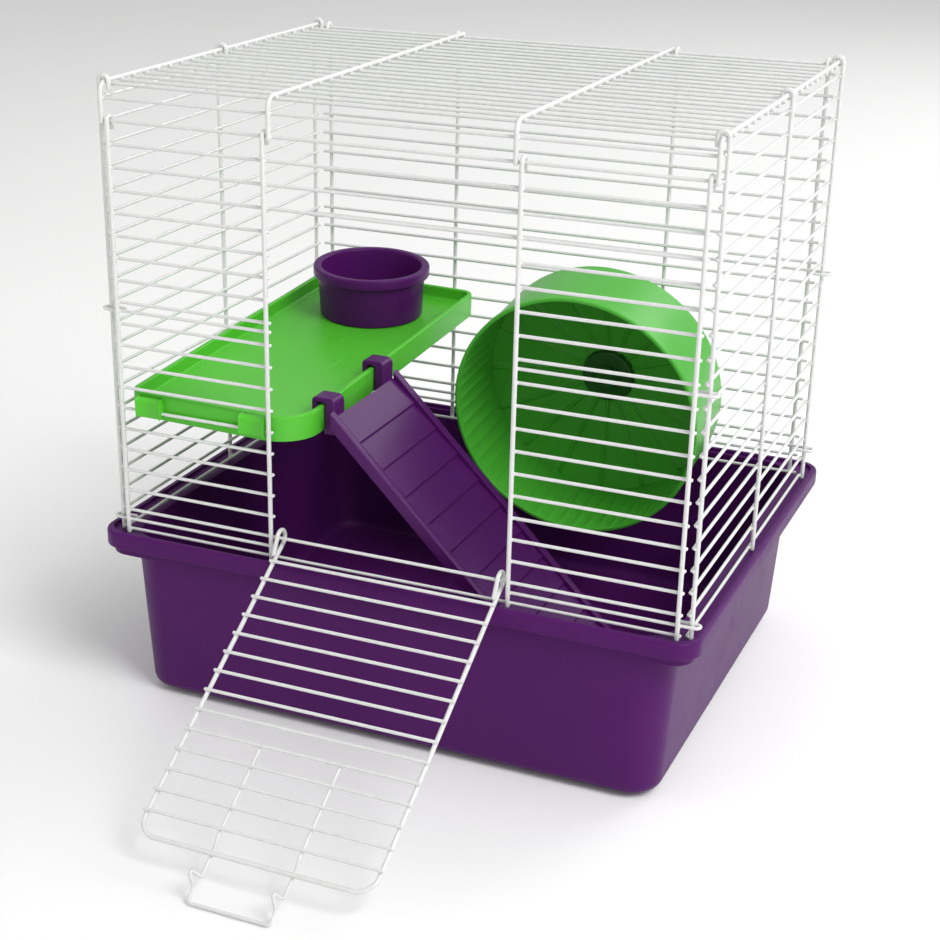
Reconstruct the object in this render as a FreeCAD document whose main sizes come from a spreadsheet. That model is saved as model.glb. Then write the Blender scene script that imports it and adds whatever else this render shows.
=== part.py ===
import FreeCAD, Part
import math
import os
import Sketcher

# Two-storey wire hamster cage on a deep moulded tray.
# Frame: origin on the table under the centre of the wirework, X to the right, -Y towards the door, +Z up.

V = FreeCAD.Vector
doc = FreeCAD.newDocument("hamster_cage")
sheet = doc.addObject("Spreadsheet::Sheet", "sizes")

SIZES = [
    # tray
    ("tray_length", 367.0), ("tray_width", 298.0), ("tray_height", 107.0),
    ("tray_left_shift", 2.5), ("tray_back_shift", 8.25),
    ("rim_corner", 15.0), ("seat_corner", 12.0), ("rim_drop", 10.0), ("rim_lip", 3.8),
    ("rim_round", 2.6),
    ("step_drop", 5.0), ("step_inset", 4.0), ("ledge_depth", 2.0),
    ("tub_length", 326.0), ("tub_width", 276.5), ("tub_corner", 18.0), ("tub_draft", 3.5),
    ("tub_round", 5.0), ("wall", 2.4), ("foot_height", 4.0), ("foot_inset", 16.0),
    # wirework
    ("upright_diameter", 2.6), ("bar_diameter", 1.9), ("bar_pitch", 12.7),
    ("nub", 1.8), ("roof_nub", 1.6), ("side_nub", 0.8),
    ("panel_length", 337.0), ("panel_depth", 266.0), ("door_post", 72.8),
    ("foot_tail", 2.0), ("ledge_clearance", 0.6), ("sill_gap", 12.1), ("hook_sill_rise", 6.0),
    ("wire_clearance", 0.3), ("weld_bite", 0.12), ("hook_tail", 5.0),
    ("roof_rise", 20.8), ("roof_bend", 6.0), ("lip_shift", 3.5), ("lip_gap", 12.1),
    ("mid_hook_drop", 5.1), ("hook_overhang", 2.0), ("hook_return", 10.0),
    ("corner_clearance", 0.7), ("back_post_inset", 3.2),
    # door, measured from its hinge rail
    ("door_length", 193.0), ("door_half_width", 67.5), ("door_offset", 4.8),
    ("door_corner", 11.0), ("door_slope", 30.7),
    ("first_door_bar", 14.6), ("latch_spread", 23.5), ("latch_neck", 12.6), ("latch_height", 14.0),
    ("latch_lean", 4.0), ("latch_fold", 3.4), ("latch_bend", 1.2), ("handle_reach", 8.0),
    # shelf
    ("shelf_length", 256.0), ("shelf_width", 112.0), ("shelf_height", 15.0), ("shelf_corner", 9.0),
    ("shelf_free_corner", 24.0), ("shelf_side_gap", 4.8), ("shelf_front_gap", 1.2),
    ("shelf_drop", 4.1), ("deck_drop", 8.0), ("deck_thickness", 2.6), ("shelf_rim", 3.2),
    ("shelf_tilt", 2.4), ("shelf_roll", 1.5), ("clip_width", 15.3), ("clip_wall", 2.4),
    ("clip_rise", 8.5),
    ("clip_clearance", 0.25), ("clip_first", 8.5), ("clip_second", 76.0),
    # inner ramp
    ("ramp_width", 91.0), ("ramp_front_gap", 23.0), ("ramp_slope", 45.0), ("ramp_plate", 2.6),
    ("ramp_rail", 6.0), ("ramp_rail_height", 6.0), ("ramp_step", 20.2), ("ramp_gap", 1.0),
    ("ramp_stand_off", 6.5),
    ("ramp_skirt", 4.0), ("ramp_drop", 8.0), ("ramp_floor_gap", 0.6), ("ramp_cleat", 1.2),
    ("ramp_hook_width", 13.0), ("ramp_hook_inset", 6.0), ("ramp_hook_wall", 3.0),
    ("ramp_hook_leg", 22.0),
    ("ramp_hook_lap", 7.0),
    # bowl
    ("bowl_radius", 35.0), ("bowl_foot_radius", 33.5), ("bowl_height", 33.0), ("bowl_wall", 2.2),
    ("bowl_lip_height", 6.3), ("bowl_lip_out", 3.0), ("bowl_side", 57.5), ("bowl_back", 49.0),
    ("bowl_gap", 0.3),
    # wheel, its axis sloping down towards the front
    ("wheel_radius", 80.0), ("wheel_back_radius", 79.0), ("wheel_depth", 60.0), ("wheel_wall", 2.2),
    ("wheel_slope", 6.6), ("wheel_right", 44.5), ("wheel_rise", 51.5), ("wheel_back_gap", 23.3),
    ("wheel_dish", 13.0), ("wheel_rib", 2.0), ("rib_reach", 57.0), ("rib_top", 3.1),
    ("hub_radius", 18.0), ("hub_height", 6.0), ("hub_flange", 1.5), ("hub_lap", 4.0),
    ("axle_tail", 7.5), ("axle_radius", 3.0),
    ("axle_clearance", 0.08), ("wheel_play", 0.4), ("cap_radius", 8.0), ("cap_height", 4.0),
    ("bracket_width", 46.0), ("bracket_height", 54.0), ("bracket_plate", 4.0),
    ("bracket_boss", 9.0),
]
COUNTS = [("door_bar_count", 14), ("opening_pitches", 15), ("header_pitches", 3),
          ("roof_bar_count", 21), ("latch_first_bar", 9), ("shelf_bar", 5), ("bracket_bar", 5),
          ("wheel_rib_count", 16), ("ramp_cleat_count", 11)]
NAMES = {name for name, number in SIZES + COUNTS}

for row, (name, number) in enumerate(SIZES + COUNTS, start=1):
    sheet.set("A%d" % row, name)
    sheet.set("B%d" % row, str(number))
    sheet.setAlias("B%d" % row, name)
doc.recompute()


def s(text):
    # Expression text in which each of the sheet's names is given its sheet.
    words = text.replace("(", " ( ").replace(")", " ) ").split()
    joined = " ".join("sizes." + word if word in NAMES else word for word in words)
    return joined.replace("tan (", "tan(")


def value(text):
    # What an expression of the sheet's names comes to.
    answer = sheet.evalExpression(s(text))
    return float(getattr(answer, "Value", answer))


# Levels and places that several pieces share, as expressions.
BAR_OFFSET = "( ( upright_diameter + bar_diameter ) / 2 - weld_bite )"
BAR_HOOK = "( ( upright_diameter + bar_diameter ) / 2 + wire_clearance )"
LEDGE = "( tray_height - ledge_depth )"
WIRE_FOOT = "( " + LEDGE + " + ledge_clearance )"
SILL = "( " + WIRE_FOOT + " + foot_tail )"
RAIL = "( " + SILL + " + sill_gap )"
HINGE_BAR = "( " + RAIL + " + ( opening_pitches + header_pitches ) * bar_pitch )"
ROOF = "( " + HINGE_BAR + " + roof_rise )"
PANEL_END = "( panel_length / 2 )"
FACE = "( panel_depth / 2 )"
FACE_BARS = "( " + FACE + " - " + BAR_OFFSET + " )"
LIP_BARS = "( " + FACE + " - " + BAR_HOOK + " )"
LIP_FACE = "( " + LIP_BARS + " + " + BAR_OFFSET + " )"
ROOF_EDGE = "( " + PANEL_END + " + lip_shift )"
SIDE = "( " + ROOF_EDGE + " + upright_diameter + wire_clearance )"
SIDE_BARS = "( " + SIDE + " - " + BAR_OFFSET + " )"
SIDE_FRONT = "( " + FACE_BARS + " - " + BAR_HOOK + " )"
SIDE_BACK = "( " + SIDE_FRONT + " - corner_clearance )"
MID_HOOK = "( " + RAIL + " + 10 * bar_pitch - mid_hook_drop )"


def bound(item, **expressions):
    # Bind an object's properties; a double underscore in a name stands for a dot.
    for name, text in expressions.items():
        item.setExpression(name.replace("__", "."), s(text))
    return item


TURNS = {"x": FreeCAD.Rotation(V(0, 1, 0), 90), "y": FreeCAD.Rotation(V(1, 0, 0), -90),
         "z": FreeCAD.Rotation()}


def bar(name, axis, x, y, z, length, diameter="bar_diameter"):
    # A straight round bar that starts at x, y, z and runs along an axis.
    rod = doc.addObject("Part::Cylinder", name)
    rod.Placement = FreeCAD.Placement(V(), TURNS[axis])
    return bound(rod, Radius=diameter + " / 2", Height=length, Placement__Base__x=x,
                 Placement__Base__y=y, Placement__Base__z=z)


def box(name, x, y, z, length, width, height):
    block = doc.addObject("Part::Box", name)
    return bound(block, Length=length, Width=width, Height=height, Placement__Base__x=x,
                 Placement__Base__y=y, Placement__Base__z=z)


nodes = []


def node(item, name):
    item.Label = name
    nodes.append(item)
    return item


def group(name, pieces):
    # Several separate pieces of wire that make one node.
    whole = doc.addObject("Part::Compound", name)
    whole.Links = pieces
    return node(whole, name)


def route(points, bend):
    # A wire's centre line: straight runs joined by tangent arcs at each inner point.
    edges = []
    here = points[0]
    bends = bend if isinstance(bend, list) else [bend] * (len(points) - 2)
    for before, corner, after, radius in zip(points, points[1:], points[2:], bends):
        into = (corner - before).normalize()
        out = (after - corner).normalize()
        turn = into.getAngle(out)
        reach = radius * math.tan(turn / 2)
        start = corner - into * reach
        end = corner + out * reach
        middle_way = (out - into).normalize()
        middle = corner + middle_way * (radius / math.cos(turn / 2) - radius)
        if (start - here).Length > 0.001:
            edges.append(Part.LineSegment(here, start).toShape())
        edges.append(Part.Arc(start, middle, end).toShape())
        here = end
    if (points[-1] - here).Length > 0.001:
        edges.append(Part.LineSegment(here, points[-1]).toShape())
    return Part.Wire(edges)


def bent_wire(name, points, bend, diameter):
    # A round wire along a bent route, as one solid whose volume is checked.
    line = route(points, bend)
    start = (points[1] - points[0]).normalize()
    ring = Part.Wire([Part.makeCircle(diameter / 2, points[0], start)])
    solid = line.makePipeShell([ring], True, False)
    expected = math.pi * diameter ** 2 / 4 * line.Length
    if abs(solid.Volume / expected - 1) > 0.01:
        raise ValueError("%s is not a clean sweep" % name)
    wire = doc.addObject("Part::Feature", name)
    wire.Shape = solid
    return wire


def rounded_sketch(body, name, level, length, width, radii, side=None, front=None):
    # A rectangle with rounded corners, centred on the origin or with its left and front
    # sides at given places. The radii are front right, back right, back left, front left.
    sketch = body.newObject("Sketcher::SketchObject", name)
    plane = [item for item in body.Origin.OriginFeatures if item.Role == "XY_Plane"][0]
    sketch.AttachmentSupport = (plane, [""])
    sketch.MapMode = "FlatFace"
    sketch.setExpression("AttachmentOffset.Base.z", s(level))
    long, wide = value(length) / 2, value(width) / 2
    turns = [value(radius) for radius in radii]
    middle = V(value(side) + long, value(front) + wide) if side else V()
    corners = [V(long, -wide), V(long, wide), V(-long, wide), V(-long, -wide)]
    inward = [V(-1, 1), V(-1, -1), V(1, -1), V(1, 1)]
    arcs = []
    for index in range(4):
        centre = middle + corners[index] + inward[index] * turns[index]
        circle = Part.Circle(centre, V(0, 0, 1), turns[index])
        first = math.radians(90 * index - 90)
        arcs.append(Part.ArcOfCircle(circle, first, first + math.pi / 2))
    for arc in arcs:
        sketch.addGeometry(arc)
    for index in range(4):
        sketch.addGeometry(Part.LineSegment(arcs[index].EndPoint, arcs[(index + 1) % 4].StartPoint))
    for index in range(4):
        sketch.addConstraint(Sketcher.Constraint("Tangent", index, 2, index + 4, 1))
        sketch.addConstraint(Sketcher.Constraint("Tangent", index + 4, 2, (index + 1) % 4, 1))
    sketch.addConstraint(Sketcher.Constraint("Vertical", 4))
    sketch.addConstraint(Sketcher.Constraint("Horizontal", 5))
    sketch.addConstraint(Sketcher.Constraint("Vertical", 6))
    sketch.addConstraint(Sketcher.Constraint("Horizontal", 7))
    for index in range(4):
        number = sketch.addConstraint(Sketcher.Constraint("Radius", index, turns[index]))
        sketch.setExpression("Constraints[%d]" % number, s(radii[index]))
    right = middle.x + long
    left = middle.x - long
    back = middle.y + wide
    near = middle.y - wide
    rules = [(4, "X", right), (6, "X", left), (5, "Y", back), (7, "Y", near)]
    texts = [length + " / 2", "( 0 - " + length + " / 2 )", width + " / 2", "( 0 - " + width + " / 2 )"]
    if side:
        texts = [side + " + " + length, side, front + " + " + width, front]
    for (line, way, place), text in zip(rules, texts):
        rule = Sketcher.Constraint("Distance" + way, -1, 1, line, 1, place)
        number = sketch.addConstraint(rule)
        sketch.setExpression("Constraints[%d]" % number, s(text))
    return sketch


def pad(body, name, sketch, length, taper=None):
    feature = body.newObject("PartDesign::Pad", name)
    feature.Profile = sketch
    feature.setExpression("Length", s(length))
    if taper:
        feature.setExpression("TaperAngle", s(taper))
    return feature


def pocket(body, name, sketch, length, upward, taper=None):
    feature = body.newObject("PartDesign::Pocket", name)
    feature.Profile = sketch
    feature.setExpression("Length", s(length))
    feature.Reversed = upward
    if taper:
        feature.setExpression("TaperAngle", s(taper))
    return feature


def level_round(body, name, level, radius):
    # Round off every edge that lies flat at one level.
    doc.recompute()
    height = value(level)
    names = []
    for number, edge in enumerate(body.Tip.Shape.Edges, start=1):
        limits = edge.BoundBox
        if abs(limits.ZMax - height) < 0.01 and abs(limits.ZMin - height) < 0.01:
            names.append("Edge%d" % number)
    last = body.Tip
    feature = body.newObject("PartDesign::Fillet", name)
    feature.Base = (last, names)
    feature.setExpression("Radius", s(radius))
    return feature


def tray():
    # A tapering tub under a stepped rim, hollowed from above, standing on a low foot.
    body = doc.addObject("PartDesign::Body", "tray")
    bound(body, Placement__Base__x="( 0 - tray_left_shift )", Placement__Base__y="tray_back_shift")
    step_base = "( tray_height - rim_drop - step_drop )"
    tub = rounded_sketch(body, "tub_outline", "foot_height", "tub_length", "tub_width",
                         ["tub_corner"] * 4)
    pad(body, "tub", tub, step_base + " - foot_height", "tub_draft")
    level_round(body, "tub_base_round", "foot_height", "tub_round")
    foot = rounded_sketch(body, "foot_outline", "0", "( tub_length - 2 * foot_inset )",
                          "( tub_width - 2 * foot_inset )", ["( tub_corner - foot_inset )"] * 4)
    pad(body, "foot", foot, "foot_height + wall / 2")
    step = rounded_sketch(body, "step_outline", step_base, "( tray_length - 2 * step_inset )",
                          "( tray_width - 2 * step_inset )", ["( rim_corner - step_inset )"] * 4)
    pad(body, "step", step, "step_drop")
    rim = rounded_sketch(body, "rim_outline", "( tray_height - rim_drop )", "tray_length",
                         "tray_width", ["rim_corner"] * 4)
    pad(body, "rim", rim, "rim_drop")
    level_round(body, "rim_edge_round", "tray_height", "rim_round")
    seat = rounded_sketch(body, "seat_outline", "tray_height", "( tray_length - 2 * rim_lip )",
                          "( tray_width - 2 * rim_lip )", ["seat_corner"] * 4)
    pocket(body, "seat", seat, "ledge_depth", False)
    inside = rounded_sketch(body, "inside_outline", "( foot_height + wall )",
                            "( tub_length - 2 * wall )", "( tub_width - 2 * wall )",
                            ["( tub_corner - wall )"] * 4)
    pocket(body, "inside", inside, LEDGE + " - foot_height - wall + wall", True, "tub_draft")
    level_round(body, "inside_round", "( foot_height + wall )", "tub_round - wall")
    return node(body, "tray")


def level(index):
    # The height of a full-width wire, counted in pitches above the hinge rail.
    return "( " + RAIL + " + ( %s ) * bar_pitch )" % index


def less(text):
    return "( 0 - " + text + " )"


def across(name, heights, y, left, right, diameter="bar_diameter"):
    # Straight wires along X, one at each height.
    return [bar("%s_%d" % (name, number), "x", left, y, height, right + " - " + left, diameter)
            for number, height in enumerate(heights)]


def panel_upright(name, x, y, bottom, top, hook, tail):
    # An upright whose top curls inwards over a wire: hook is the curl's radius.
    way = -1 if y > 0 else 1
    points = [V(x, y, bottom), V(x, y, top + hook), V(x, y + 2 * hook * way, top + hook),
              V(x, y + 2 * hook * way, top - tail)]
    return bent_wire(name, points, hook, value("upright_diameter"))


def front_panel():
    reach = value(BAR_HOOK)
    posts = [-value(PANEL_END), -value("door_post"), value("door_post"), value(PANEL_END)]
    wires = [panel_upright("front_upright_%d" % number, x, -value(FACE), value(WIRE_FOOT),
                           value(HINGE_BAR), reach, value("hook_tail"))
             for number, x in enumerate(posts)]
    group("front_panel_uprights", wires)
    near = less(FACE_BARS)
    end = "( " + PANEL_END + " + nub )"
    inner = "( door_post - nub )"
    count = int(value("opening_pitches + header_pitches"))
    opening = int(value("opening_pitches"))
    header = [level(number) for number in range(opening, count)]
    group("front_panel_header_bars", across("header", header, near, less(end), end))
    group("front_panel_sill_bars", across("sill", [RAIL, SILL], near, less(end), end))
    beside = [level(number) for number in range(1, opening)]
    group("front_panel_left_bars", across("left", beside, near, less(end), less(inner)))
    group("front_panel_right_bars", across("right", beside, near, inner, end))
    hooks = []
    for number, height in enumerate([MID_HOOK, "( " + SILL + " + hook_sill_rise )"]):
        for side in (-1, 1):
            hooks.append(hairpin("front_hook_%d_%d" % (number, side), height, side, -1,
                                 value(inner), value(SIDE_FRONT)))
    group("front_panel_hook_wires", hooks)


def hairpin(name, height, side, face, start, upright):
    # A wire that runs out along a panel and turns back round the next panel's upright.
    leg = value(FACE_BARS)
    back = 2 * upright - leg
    bend = (leg - back) / 2
    middle = value(SIDE + " + hook_overhang")
    points = [V(side * start, face * leg, value(height)),
              V(side * (middle + bend), face * leg, value(height)),
              V(side * (middle + bend), face * back, value(height)),
              V(side * (middle - value("hook_return")), face * back, value(height))]
    return bent_wire(name, points, bend, value("bar_diameter"))


def roof():
    bend = value("roof_bend")
    wires = []
    back_end = value(LIP_BARS) + value("roof_nub")
    places = [value(ROOF_EDGE), value("door_post - lip_shift")]
    for number, x in enumerate([-places[0], -places[1], places[1], places[0]]):
        points = [V(x, back_end, value(ROOF)), V(x, -value(LIP_FACE), value(ROOF)),
                  V(x, -value(LIP_FACE), value(HINGE_BAR + " - roof_nub"))]
        wires.append(bent_wire("roof_cross_%d" % number, points, bend, value("upright_diameter")))
    group("roof_cross_wires", wires)
    end = "( " + ROOF_EDGE + " + roof_nub )"
    below = "( " + ROOF + " - " + BAR_OFFSET + " )"
    bars = [bar("roof_bar_%d" % number, "x", less(end), LIP_BARS + " - %d * bar_pitch" % number,
                below, end + " - " + less(end)) for number in range(int(value("roof_bar_count")))]
    group("roof_bars", bars)
    lip = [HINGE_BAR, "( " + HINGE_BAR + " + lip_gap )"]
    group("roof_lip_bars", across("lip", lip, less(LIP_BARS), less(end), end))


def back_panel():
    corner = value(PANEL_END + " - back_post_inset")
    posts = [-corner, -value("door_post"), value("door_post"), corner]
    top = value("( " + ROOF + " - " + BAR_OFFSET + " )")
    wires = [panel_upright("back_upright_%d" % number, x, value(FACE), value(WIRE_FOOT), top,
                           value(BAR_HOOK), value("hook_tail"))
             for number, x in enumerate(posts)]
    group("back_panel_uprights", wires)
    end = "( " + PANEL_END + " + nub )"
    group("back_panel_bars", across("back", panel_levels(), FACE_BARS, less(end), end))
    hooks = []
    for number, height in enumerate([MID_HOOK, "( " + RAIL + " + hook_sill_rise )"]):
        for side in (-1, 1):
            hooks.append(hairpin("back_hook_%d_%d" % (number, side), height, side, 1,
                                 0.0, value(SIDE_BACK)))
    group("back_panel_hook_wires", hooks)


def panel_levels():
    # The heights of the wires of a panel without a door.
    count = int(value("opening_pitches + header_pitches"))
    return [SILL] + [level(number) for number in range(count + 2)]


def side_panel(name, side):
    # Three uprights that curl over the roof's edge wire, with the long bars inside them.
    curl = value(SIDE) - value(ROOF_EDGE)
    wires = []
    for number, y in enumerate([-value(SIDE_FRONT), 0.0, value(SIDE_BACK)]):
        top = value(ROOF) + curl
        outer = side * value(SIDE)
        inner = side * (value(ROOF_EDGE) - curl)
        points = [V(outer, y, value(WIRE_FOOT)), V(outer, y, top), V(inner, y, top),
                  V(inner, y, value(ROOF) - value("hook_tail"))]
        wires.append(bent_wire("%s_upright_%d" % (name, number), points, curl,
                               value("upright_diameter")))
    group(name + "_panel_uprights", wires)
    x = SIDE_BARS if side > 0 else less(SIDE_BARS)
    front = less("( " + SIDE_FRONT + " + side_nub )")
    length = SIDE_FRONT + " + " + SIDE_BACK + " + 2 * side_nub"
    bars = [bar("%s_bar_%d" % (name, number), "y", x, front, height, length)
            for number, height in enumerate(panel_levels())]
    group(name + "_panel_bars", bars)


def hang_door(item, name):
    # Door pieces are drawn about the hinge rail with the door level, then let down.
    item.Placement = FreeCAD.Placement(V(), FreeCAD.Rotation(V(1, 0, 0), value("door_slope")))
    bound(item, Placement__Base__y=less(FACE_BARS), Placement__Base__z=RAIL,
          Placement__Rotation__Angle="door_slope")
    return node(item, name)


def door():
    # Along the door is -Y; the frame lies below the rail and the bars lie on the frame.
    low = -value("door_offset")
    half = value("door_half_width")
    end = -value("door_length")
    loop = value("door_offset")
    landing = V(0, 2.5 * loop, low + 2.6 + 0.7)
    lean = math.atan2(landing.z, landing.y)
    touch = lean + math.acos(loop / math.hypot(landing.y, landing.z))
    crest = V(0, loop * math.tan((math.pi / 2 - touch) / 2), loop)
    side_points = [V(half, -landing.y, landing.z), V(half, -crest.y, crest.z),
                   V(half, loop, loop), V(half, loop, low), V(half, end, low)]
    bends = [loop, loop, loop, value("door_corner")]
    mirrored = [V(-point.x, point.y, point.z) for point in reversed(side_points)]
    frame = bent_wire("door_frame", side_points + mirrored, bends + bends[::-1],
                      value("upright_diameter"))
    whole = doc.addObject("Part::Compound", "door_frame_wire")
    whole.Links = [frame]
    hang_door(whole, "door_frame_wire")
    wide = "( door_half_width + nub )"
    bars = [bar("door_bar_%d" % number, "x", less(wide),
                less("( first_door_bar + %d * bar_pitch )" % number),
                BAR_OFFSET + " - door_offset", "2 * " + wide)
            for number in range(int(value("door_bar_count")))]
    rack = doc.addObject("Part::Compound", "door_bars")
    rack.Links = bars
    hang_door(rack, "door_bars")
    hang_door(latch(end, low), "door_latch_wire")


def latch(end, low):
    # One springy wire: two legs under the bars, a hump over a header bar and a handle.
    out = value("latch_spread")
    under_bars = low + value(BAR_OFFSET) - value("bar_diameter - weld_bite")
    under_end = low - value(BAR_OFFSET)
    start = -value("first_door_bar + latch_first_bar * bar_pitch - nub")
    foot = end - value("latch_neck")
    peak = foot - value("latch_lean")
    fold = peak - value("latch_fold")
    grip = fold - value("handle_reach")
    run = [(start, under_bars), (end + 9, under_bars), (end + 3, under_end), (foot, under_end),
           (peak, low + value("latch_height")), (fold, low + 1.5), (grip, low - 1)]
    leg = [V(out, along, height) for along, height in run]
    other = [V(-point.x, point.y, point.z) for point in reversed(leg)]
    bend = value("latch_bend")
    bends = [3, 3, bend, bend, bend, 2.5]
    wire = bent_wire("door_latch", leg + other, bends + bends[::-1], value("bar_diameter"))
    whole = doc.addObject("Part::Compound", "door_latch_wire")
    whole.Links = [wire]
    return whole


def fuse(name, pieces):
    whole = doc.addObject("Part::MultiFuse", name)
    whole.Shapes = pieces
    return whole


def cut(name, base, tool):
    rest = doc.addObject("Part::Cut", name)
    rest.Base = base
    rest.Tool = tool
    return rest


SHELF_LEFT = "( shelf_side_gap + bar_diameter / 2 - " + SIDE_BARS + " )"
SHELF_FRONT = "( shelf_front_gap + bar_diameter / 2 - " + FACE_BARS + " )"
CLIP_BAR = level("shelf_bar")
SHELF_BASE = "( " + CLIP_BAR + " - shelf_drop )"


def shelf_turn():
    # The shelf rises towards the back and sags a little towards its free side.
    return (FreeCAD.Rotation(V(1, 0, 0), value("shelf_tilt"))
            * FreeCAD.Rotation(V(0, 1, 0), value("shelf_roll")))


def shelf():
    # A shallow tray with a hollow underside, tilted up towards the back.
    body = doc.addObject("PartDesign::Body", "shelf_tray")
    body.Placement = FreeCAD.Placement(V(), shelf_turn())
    bound(body, Placement__Base__x=SHELF_LEFT, Placement__Base__y=SHELF_FRONT,
          Placement__Base__z=SHELF_BASE)
    corners = ["shelf_free_corner", "shelf_corner", "shelf_corner", "shelf_corner"]
    inner = ["( %s - shelf_rim )" % corner for corner in corners]
    outline = rounded_sketch(body, "shelf_outline", "0", "shelf_width", "shelf_length", corners,
                             "0", "0")
    pad(body, "shelf_block", outline, "shelf_height")
    for name, height, depth, upward in [
            ("deck_well", "shelf_height", "deck_drop", False),
            ("under_well", "0", "shelf_height - deck_drop - deck_thickness", True)]:
        well = rounded_sketch(body, name + "_outline", height, "( shelf_width - 2 * shelf_rim )",
                              "( shelf_length - 2 * shelf_rim )", inner, "shelf_rim", "shelf_rim")
        pocket(body, name, well, depth, upward)
    bar_room = "( bar_diameter / 2 + clip_clearance )"
    reach = "( " + bar_room + " + clip_wall )"
    clips = []
    slots = []
    for face in (-1, 1):
        for number in (1, 2):
            tag = "%d_%s" % (number, "front" if face < 0 else "back")
            left = SHELF_LEFT + " + " + ("clip_first" if number == 1 else "clip_second")
            centre = less(FACE_BARS) if face < 0 else FACE_BARS
            inside = "( " + reach + " + shelf_rim + shelf_front_gap )"
            near = centre + " - " + (reach if face < 0 else inside)
            clips.append(box("clip_" + tag, left, near, CLIP_BAR + " - clip_wall", "clip_width",
                             inside + " + " + reach, "clip_wall + clip_rise"))
            slots.append(box("slot_" + tag, left + " - 1", centre + " - " + bar_room,
                             CLIP_BAR + " - clip_wall - 1", "clip_width + 2",
                             "2 * " + bar_room, "clip_wall + 1 + " + bar_room))
    node(cut("shelf", fuse("shelf_and_clips", [body] + clips), fuse("clip_slots", slots)), "shelf")


RAMP_FRONT = "( ramp_front_gap + bar_diameter / 2 - " + FACE_BARS + " )"
SHELF_EDGE = "( " + SHELF_LEFT + " + shelf_width )"
FLOOR = "( foot_height + wall )"


def ramp():
    # Drawn level from its top edge along +X, then tilted down to stand on the tray's floor.
    lean = math.radians(value("ramp_slope"))
    top_x = "( " + SHELF_EDGE + " + ramp_gap + ramp_stand_off )"
    top_z = "( " + SHELF_BASE + " + shelf_height - ramp_drop )"
    fall = value(top_z) - value(FLOOR + " + ramp_floor_gap")
    length = fall / math.sin(lean) + 20
    sheet.set("D1", "%.4f" % length)
    sheet.setAlias("D1", "ramp_run")
    NAMES.add("ramp_run")
    doc.recompute()
    pieces = [box("ramp_deck", "0", "0", "( 0 - ramp_plate )", "ramp_run", "ramp_width",
                  "ramp_plate")]
    for name, near in [("near", "0"), ("far", "ramp_width - ramp_rail")]:
        pieces.append(box("ramp_rail_" + name, "0", near, "( 0 - ramp_skirt )", "ramp_run",
                          "ramp_rail", "ramp_skirt + ramp_rail_height / 2"))
    for number in range(int(value("ramp_cleat_count"))):
        pieces.append(box("ramp_cleat_%d" % number, "%d * ramp_step" % (number + 1), "0",
                          "( 0 - ramp_plate / 2 )", "ramp_cleat * 2", "ramp_width",
                          "ramp_plate / 2 + ramp_cleat"))
    slope = fuse("ramp_slope_parts", pieces)
    slope.Placement = FreeCAD.Placement(V(), FreeCAD.Rotation(V(0, 1, 0), 45))
    bound(slope, Placement__Base__x=top_x, Placement__Base__y=RAMP_FRONT, Placement__Base__z=top_z,
          Placement__Rotation__Angle="ramp_slope")
    solids = [slope]
    for name, place in [("near", "ramp_hook_inset"),
                        ("far", "ramp_width - ramp_hook_inset - ramp_hook_width")]:
        solids += ramp_hook(name, RAMP_FRONT + " + " + place)
    whole = fuse("ramp_whole", solids)
    below = box("ramp_below_floor", "0", RAMP_FRONT + " - 1", "( 0 - 20 )", "tub_length",
                "ramp_width + 2", "20 + " + FLOOR + " + ramp_floor_gap")
    before = box("ramp_before_edge", top_x + " - ramp_stand_off - 30", RAMP_FRONT + " - 1",
                 top_z + " - 30", "30", "ramp_width + 2", "30")
    node(cut("inner_ramp", whole, fuse("ramp_trim", [below, before])), "inner_ramp")


def ramp_hook(name, near):
    # An upright, a top and an inside leg that hang on the shelf's raised rim.
    rim_top = ("( " + SHELF_BASE + " + shelf_height + ( " + near + " + ramp_hook_width - "
               + SHELF_FRONT + " ) * tan ( shelf_tilt ) - shelf_width * tan ( shelf_roll ) + ramp_gap )")
    foot = "( " + rim_top + " + ramp_hook_wall - ramp_hook_leg )"
    outside = SHELF_EDGE + " + ramp_gap"
    span = "( shelf_rim + 2 * ramp_gap )"
    upright = box("ramp_hook_%s_upright" % name, outside, near, foot, "ramp_stand_off",
                  "ramp_hook_width", "ramp_hook_leg")
    over = box("ramp_hook_%s_top" % name, outside + " - " + span + " - ramp_hook_wall", near,
               rim_top, span + " + ramp_hook_wall + ramp_stand_off", "ramp_hook_width",
               "ramp_hook_wall")
    leg = box("ramp_hook_%s_leg" % name, outside + " - " + span + " - ramp_hook_wall", near,
              rim_top + " - ramp_hook_lap + 2", "ramp_hook_wall", "ramp_hook_width",
              "ramp_hook_lap - 2 + ramp_hook_wall")
    return [upright, over, leg]


def turned(name, profile, placement=None):
    # A solid of revolution about its own Z: profile is a closed list of radius, height.
    points = [V(radius, 0, height) for radius, height in profile]
    face = Part.Face(Part.makePolygon(points + points[:1]))
    solid = face.revolve(V(), V(0, 0, 1), 360)
    item = doc.addObject("Part::Feature", name)
    item.Shape = solid
    if placement:
        item.Placement = placement
    return item


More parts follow.
